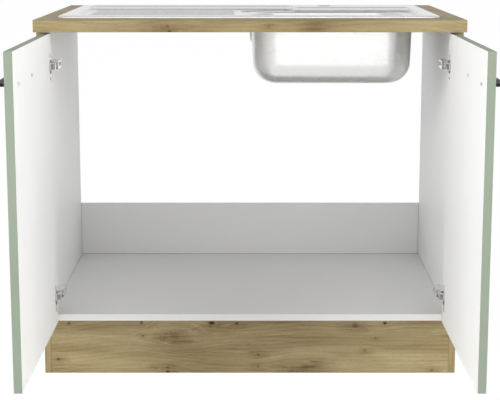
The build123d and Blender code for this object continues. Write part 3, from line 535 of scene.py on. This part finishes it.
for name, finish in (("floor_board", "floor_board_white"), ("rear_top_rail", "rear_rail_white")):
    board_white, tree, shader, place = board_material(finish)
    white = use_group(tree, melamine, Vector=place)
    chips = use_group(tree, chipboard, Vector=place)
    split = parted(tree, place)
    sideways = maths(tree, "ABSOLUTE", split["X"])
    ends = maths(tree, "GREATER_THAN", sideways, side_inner - FACING)
    back_edge = maths(tree, "GREATER_THAN", split["Y"], carcass_back - FACING)
    raw = maths(tree, "MAXIMUM", ends, back_edge)
    joint = maths(tree, "MAXIMUM", joint_shadow(tree, sideways, side_inner),
                  joint_shadow(tree, split["Y"], carcass_back))
    colour = blended(tree, joint, white["Color"], JOINT_GREY)
    join(tree, blended(tree, raw, colour, chips["Color"]), shader.inputs["Base Color"])
    join(tree, white["Roughness"], shader.inputs["Roughness"])
    bumped(tree, shader, white["Height"], PEARL, PEARL_DEPTH)
    finish_node(name, board_white)


# ---------------------------------------------------------------------------
# Rear strip. A low strip of thin hardboard nailed across the back, painted
# white on its front only and brown felted fibre behind.

HARDBOARD = srgb(134, 104, 72)
HARDBOARD_DARK = srgb(96, 70, 46)
FELTED, FELT_DEPTH = 0.1, 0.0001
LINE_AT_FLOOR = 0.0020
floor_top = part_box("floor_board")[1][2]

hardboard, tree, shader, place = board_material("rear_strip_hardboard")
split = parted(tree, place)
felt = noise(tree, place, 240.0, 5.0, 0.7)["Fac"]
brown = blended(tree, band(tree, felt, 0.3, 0.7), HARDBOARD_DARK, HARDBOARD)
white = use_group(tree, melamine, Vector=place)
painted = maths(tree, "LESS_THAN", split["Y"], carcass_back + FACING)
from_floor = maths(tree, "ABSOLUTE", maths(tree, "SUBTRACT", split["Z"], floor_top))
# Painted shadow along the joint with the floor board and where the strip meets the side panels.
along_floor = band(tree, from_floor, JOINT_LINE, LINE_AT_FLOOR, JOINT_DARK, 0.0)
at_sides = joint_shadow(tree, maths(tree, "ABSOLUTE", split["X"]), side_inner)
colour = blended(tree, maths(tree, "MAXIMUM", along_floor, at_sides), white["Color"], JOINT_GREY)
join(tree, blended(tree, painted, brown, colour), shader.inputs["Base Color"])
join(tree, band(tree, felt, 0.2, 0.8, 0.5, 0.8), shader.inputs["Roughness"])
bumped(tree, shader, felt, FELTED, FELT_DEPTH)
finish_node("rear_strip", hardboard)


# ---------------------------------------------------------------------------
# Carcass fittings. Zinc-plated cam discs and bolts draw the boards together,
# beech dowels keep them in line, nails hold the rear strip, and angle brackets
# with short screws hold the worktop down.

STEEL = (0.76, 0.76, 0.755, 1)
STEEL_LINE = (0.65, 0.65, 0.645, 1)
ZINC = (0.70, 0.70, 0.70, 1)
ZINC_ROUGH = 0.30
METAL_GLOSS, BRUSHING = 0.5, 0.05
BEECH, BEECH_FLECK = srgb(205, 172, 128), srgb(178, 140, 96)

brushed_steel, given, made = group_tree(
    "brushed_steel", [("Vector", VECTOR, None), ("Base", COLOUR, STEEL), ("Fine", NUMBER, 0.24)],
    [("Color", COLOUR), ("Roughness", NUMBER), ("Height", NUMBER)])
tree = brushed_steel
lines = drawn_out(tree, given["Vector"], 30.0, 1200.0, 1.0, 3.0, 0.6)["Fac"]
smear = noise(tree, given["Vector"], 9.0, 3.0, 0.5)["Fac"]
combed = band(tree, lines, 0.3, 0.7, 0.0, 0.25)
join(tree, blended(tree, combed, given["Base"], STEEL_LINE), made["Color"])
rough = maths(tree, "ADD", given["Fine"], band(tree, smear, 0.3, 0.7, -0.03, 0.05))
join(tree, maths(tree, "ADD", rough, band(tree, lines, 0.3, 0.7, -0.02, 0.03)), made["Roughness"])
join(tree, lines, made["Height"])


def steel_material(name, base, fine, line_depth):
    material, tree, shader, place = board_material(name, METAL_GLOSS)
    brushed = use_group(tree, brushed_steel, Vector=place, Base=base, Fine=fine)
    shader.inputs["Metallic"].default_value = 1.0
    join(tree, brushed["Color"], shader.inputs["Base Color"])
    join(tree, brushed["Roughness"], shader.inputs["Roughness"])
    bumped(tree, shader, brushed["Height"], BRUSHING, line_depth)
    return material


PLATING_DEPTH = 0.00002
zinc = steel_material("screw_zinc", ZINC, ZINC_ROUGH, PLATING_DEPTH)
for name in ("cam_discs", "cam_bolts", "strip_nails", "worktop_brackets", "bracket_screws"):
    finish_node(name, zinc)

beech, tree, shader, place = board_material("dowel_beech")
fleck = drawn_out(tree, place, 60.0, 700.0, 1.5, 3.0, 0.6)["Fac"]
beech_colour = blended(tree, band(tree, fleck, 0.3, 0.7), BEECH, BEECH_FLECK)
join(tree, beech_colour, shader.inputs["Base Color"])
join(tree, band(tree, fleck, 0.3, 0.7, 0.55, 0.7), shader.inputs["Roughness"])
finish_node("dowels", beech)


# ---------------------------------------------------------------------------
# Worktop. Chipboard under oak-effect laminate, a little darker in print than
# the panels, with a rounded front edge, a bare back edge and brown balance
# paper below. It rests on the carcass, and the brackets hold it.

BALANCE_PAPER = srgb(150, 122, 88)
WORKTOP_DARKER, WORKTOP_GLOSS = 0.18, 0.08
WORKTOP_LOG = (1.7, 0.0, 0.31)
top_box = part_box("worktop")
WORKTOP_KNOTS = [
    (x, top_box[0][1], z, size, darkness, halo) for x, z, size, darkness, halo in (
        (-0.185, 0.836, 0.0050, 0.90, 0.50), (-0.190, 0.848, 0.0040, 0.60, 0.50),
        (-0.221, 0.846, 0.0030, 0.40, 0.40), (-0.200, 0.843, 0.0090, 0.10, 0.55),
        (0.042, 0.848, 0.0035, 0.50, 0.40), (0.149, 0.848, 0.0070, 0.10, 0.60))
]

worktop_oak, tree, shader, place = board_material("worktop_oak_laminate", WORKTOP_GLOSS)
dark, stain, push = knots(tree, place, WORKTOP_KNOTS)
split = parted(tree, place)
moved = stretched(tree, place, (1, 1, 1), place=WORKTOP_LOG)
oak = use_group(tree, oak_grain, Vector=moved, Knots=dark, Swirl=push, Stain=stain)
chips = use_group(tree, chipboard, Vector=place)
behind = maths(tree, "GREATER_THAN", split["Y"], top_box[1][1] - FACING)
under = maths(tree, "LESS_THAN", split["Z"], top_box[0][2] + FACING)
colour = blended(tree, WORKTOP_DARKER, oak["Color"], OAK_DARK)
colour = worn_and_highlit(tree, place, top_box, colour, OAK_LIGHT)
colour = blended(tree, under, colour, BALANCE_PAPER)
join(tree, blended(tree, behind, colour, chips["Color"]), shader.inputs["Base Color"])
join(tree, oak["Roughness"], shader.inputs["Roughness"])
bumped(tree, shader, oak["Height"], EMBOSSING, EMBOSSED_DEPTH)
finish_node("worktop", worktop_oak)


# ---------------------------------------------------------------------------
# Sink. One sheet of stainless steel pressed into rim, drainer, ledge and bowl,
# finely brushed. It lies on a foam seal, and four clamps with black nylon pads
# pull it down from under the worktop.

STEEL_ROUGH, BRUSHED_DEPTH = 0.28, 0.00004
MERGE = 0.00002
SHARP_ANGLE = 30
FOAM_DARK, FOAM_PALE = srgb(40, 40, 40), srgb(70, 70, 70)
OPEN_CELLS, CELL_DEPTH = 0.5, 0.0003
NYLON_DARK, NYLON_PALE = srgb(30, 30, 31), srgb(44, 44, 45)


def smooth_copy(name):
    """The node's own shape with its triangles joined, so light runs round it."""
    bpy.ops.object.select_all(action="DESELECT")
    copy = nodes[name].copy()
    copy.data = nodes[name].data.copy()
    copy.name = name + "_shaded"
    copy.parent = None
    for key in list(copy.keys()):
        if key.startswith("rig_"):
            del copy[key]
    scene.collection.objects.link(copy)
    copy.select_set(True)
    bpy.context.view_layer.objects.active = copy
    bpy.ops.object.mode_set(mode="EDIT")
    bpy.ops.mesh.select_all(action="SELECT")
    bpy.ops.mesh.remove_doubles(threshold=MERGE)
    bpy.ops.object.mode_set(mode="OBJECT")
    bpy.ops.object.shade_smooth_by_angle(angle=math.radians(SHARP_ANGLE))
    bpy.ops.object.modifier_add(type="WEIGHTED_NORMAL")
    copy.modifiers[-1].keep_sharp = True
    bpy.ops.object.modifier_apply(modifier=copy.modifiers[-1].name)
    copy.select_set(False)
    return copy


stainless = steel_material("sink_stainless", STEEL, STEEL_ROUGH, BRUSHED_DEPTH)
sink = smooth_copy("sink")
sink.data.materials.clear()
sink.data.materials.append(stainless)
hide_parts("sink")
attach(sink, "carcass")
finish_node("clamp_hangers", stainless)
finish_node("clamp_screws", zinc)

foam, tree, shader, place = board_material("seal_foam")
cells = noise(tree, place, 1500.0, 2.0, 0.7)["Fac"]
join(tree, blended(tree, cells, FOAM_DARK, FOAM_PALE), shader.inputs["Base Color"])
join(tree, band(tree, cells, 0.3, 0.7, 0.8, 0.95), shader.inputs["Roughness"])
bumped(tree, shader, cells, OPEN_CELLS, CELL_DEPTH)
finish_node("sink_seal", foam)

nylon, tree, shader, place = board_material("clamp_pad_nylon")
sheen = noise(tree, place, 700.0, 2.0, 0.5)["Fac"]
join(tree, blended(tree, sheen, NYLON_DARK, NYLON_PALE), shader.inputs["Base Color"])
join(tree, band(tree, sheen, 0.3, 0.7, 0.4, 0.5), shader.inputs["Roughness"])
finish_node("clamp_pads", nylon)


# ---------------------------------------------------------------------------
# Hinges. Concealed hinges of pressed steel, nickel plated: a plate screwed to
# the side panel, an arm clipped to it, a lever on two pins and a cup let into
# the door. Their screws have cross recesses, with painted shade in them.

NICKEL = (0.78, 0.77, 0.75, 1)
NICKEL_ROUGH = 0.20
RECESS_SHADE_BLACK = (0.02, 0.02, 0.02, 1)
RECESS_ROUGHER = 0.3
RECESS_BUMP, RECESS_DEPTH = 0.6, 0.0006

nickel = steel_material("hinge_nickel", NICKEL, NICKEL_ROUGH, PLATING_DEPTH)
for level in ("upper", "lower"):
    for side in ("left", "right"):
        for part in ("plate", "arm", "lever", "cup"):
            finish_node(f"hinge_{part}_{level}_{side}", nickel)
for name in ("arm_pins", "cup_pins_left", "cup_pins_right"):
    finish_node(name, zinc)


def separate_solids(mesh):
    """The vertex numbers of each screw in a mesh that holds several."""
    group = list(range(len(mesh.vertices)))

    def top(number):
        while group[number] != number:
            number = group[number]
        return number

    for edge in mesh.edges:
        first, second = (top(number) for number in edge.vertices)
        group[max(first, second)] = min(first, second)
    solids = {}
    for number in range(len(group)):
        solids.setdefault(top(number), []).append(number)
    return solids.values()


def mark_heads(mesh):
    """Keep each point's place across its screw and below the head, in head radii."""
    marks = mesh.attributes.new("from_head", "FLOAT_VECTOR", "POINT")
    for solid in separate_solids(mesh):
        points = [mesh.vertices[number].co for number in solid]
        low = [min(point[axis] for point in points) for axis in range(3)]
        high = [max(point[axis] for point in points) for axis in range(3)]
        long = max(range(3), key=lambda axis: high[axis] - low[axis])
        across = [axis for axis in range(3) if axis != long]
        middle = [(low[axis] + high[axis]) / 2 for axis in range(3)]
        radius = (high[across[0]] - low[across[0]]) / 2
        widest = max(points, key=lambda point: sum(
            (point[axis] - middle[axis]) ** 2 for axis in across))
        head = high[long] if widest[long] > middle[long] else low[long]
        for number, point in zip(solid, points):
            mark = [(point[axis] - middle[axis]) / radius for axis in across]
            marks.data[number].vector = mark + [abs(point[long] - head) / radius]


# The cross recess in a screw's head: four arms that meet in a pit.
cross_recess, given, made = group_tree(
    "cross_recess", [("Vector", VECTOR, None)], [("Mask", NUMBER)])
tree = cross_recess
split = parted(tree, vector_maths(tree, "ABSOLUTE", given["Vector"]))
slim = maths(tree, "MINIMUM", split["X"], split["Y"])
far = maths(tree, "MAXIMUM", split["X"], split["Y"])
arms = band(tree, slim, 0.10, 0.16, 1.0, 0.0)
arms = maths(tree, "MULTIPLY", arms, band(tree, far, 0.50, 0.58, 1.0, 0.0))
pit = band(tree, maths(tree, "ADD", slim, far), 0.28, 0.36, 1.0, 0.0)
on_top = band(tree, split["Z"], 0.4, 0.6, 1.0, 0.0)
join(tree, maths(tree, "MULTIPLY", maths(tree, "MAXIMUM", arms, pit), on_top), made["Mask"])

screw_head, tree, shader, place = board_material("screw_head_zinc", METAL_GLOSS)
heads = put(tree, "ShaderNodeAttribute", attribute_name="from_head").outputs["Vector"]
recess = use_group(tree, cross_recess, Vector=heads)["Mask"]
plated = use_group(tree, brushed_steel, Vector=place, Base=ZINC, Fine=ZINC_ROUGH)
shader.inputs["Metallic"].default_value = 1.0
# Painted shade: the cross recess in each head painted black.
join(tree, blended(tree, recess, plated["Color"], RECESS_SHADE_BLACK), shader.inputs["Base Color"])
rough = maths(tree, "MULTIPLY_ADD", recess, RECESS_ROUGHER, plated["Roughness"])
join(tree, rough, shader.inputs["Roughness"])
bumped(tree, shader, maths(tree, "MULTIPLY", recess, -1.0), RECESS_BUMP, RECESS_DEPTH)


def finish_screws(name, body):
    """Plated screws with a recess in each head, in place of the node's own."""
    screws = smooth_copy(name)
    mark_heads(screws.data)
    screws.data.materials.clear()
    screws.data.materials.append(screw_head)
    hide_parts(name)
    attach(screws, body)


finish_screws("arm_screws", "carcass")
finish_screws("plate_screws", "carcass")
finish_screws("cup_screws_left", "door_left")
finish_screws("cup_screws_right", "door_right")


# ---------------------------------------------------------------------------
# Doors. Board with a matt sage green front and matching edges, white inside,
# each hung on two hinges and standing open.

SAGE = srgb(150, 161, 144)
SAGE_DEEP = srgb(144, 156, 138)
SAGE_PALE = srgb(172, 182, 167)
ORANGE_PEEL, PEEL_DEPTH = 0.12, 0.0001
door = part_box("door_left")
door_inner, door_outer = abs(door[1][0]), abs(door[0][0])

door_paint, tree, shader, place = board_material("door_sage_and_white")
split = parted(tree, place)
cloud = noise(tree, place, 4.0, 3.0, 0.5)["Fac"]
peel = noise(tree, place, 900.0, 2.0, 0.5)["Fac"]
green = blended(tree, band(tree, cloud, 0.3, 0.7), SAGE, SAGE_DEEP)
green = blended(tree, band(tree, peel, 0.4, 0.7, 0.0, 0.12), green, SAGE_DEEP)
white = use_group(tree, melamine, Vector=place)
inside = maths(tree, "LESS_THAN", maths(tree, "ABSOLUTE", split["X"]), door_inner + FACING)
both_doors = ((-door_outer, *door[0][1:]), (door_outer, *door[1][1:]))
green = worn_and_highlit(tree, place, both_doors, green, SAGE_PALE)
join(tree, blended(tree, inside, green, white["Color"]), shader.inputs["Base Color"])
join(tree, band(tree, peel, 0.3, 0.7, 0.5, 0.6), shader.inputs["Roughness"])
bumped(tree, shader, peel, ORANGE_PEEL, PEEL_DEPTH)
for side in ("left", "right"):
    finish_node("door_" + side, door_paint)


# ---------------------------------------------------------------------------
# Handles. Flat steel bar bent to a low bow and powder coated matt black, each
# held by two screws from inside its door.

COAT_BLACK = srgb(22, 22, 22)
COAT_GREY = srgb(34, 34, 33)
COAT_GRIT, GRIT_DEPTH = 0.3, 0.0001

black, tree, shader, place = board_material("handle_black_powder_coat")
grit = noise(tree, place, 1600.0, 2.0, 0.6)["Fac"]
coat = blended(tree, band(tree, grit, 0.35, 0.7), COAT_BLACK, COAT_GREY)
join(tree, coat, shader.inputs["Base Color"])
join(tree, band(tree, grit, 0.3, 0.7, 0.45, 0.62), shader.inputs["Roughness"])
bumped(tree, shader, grit, COAT_GRIT, GRIT_DEPTH)
for side in ("left", "right"):
    finish_node("handle_" + side, black)
    finish_screws("handle_screws_" + side, "door_" + side)
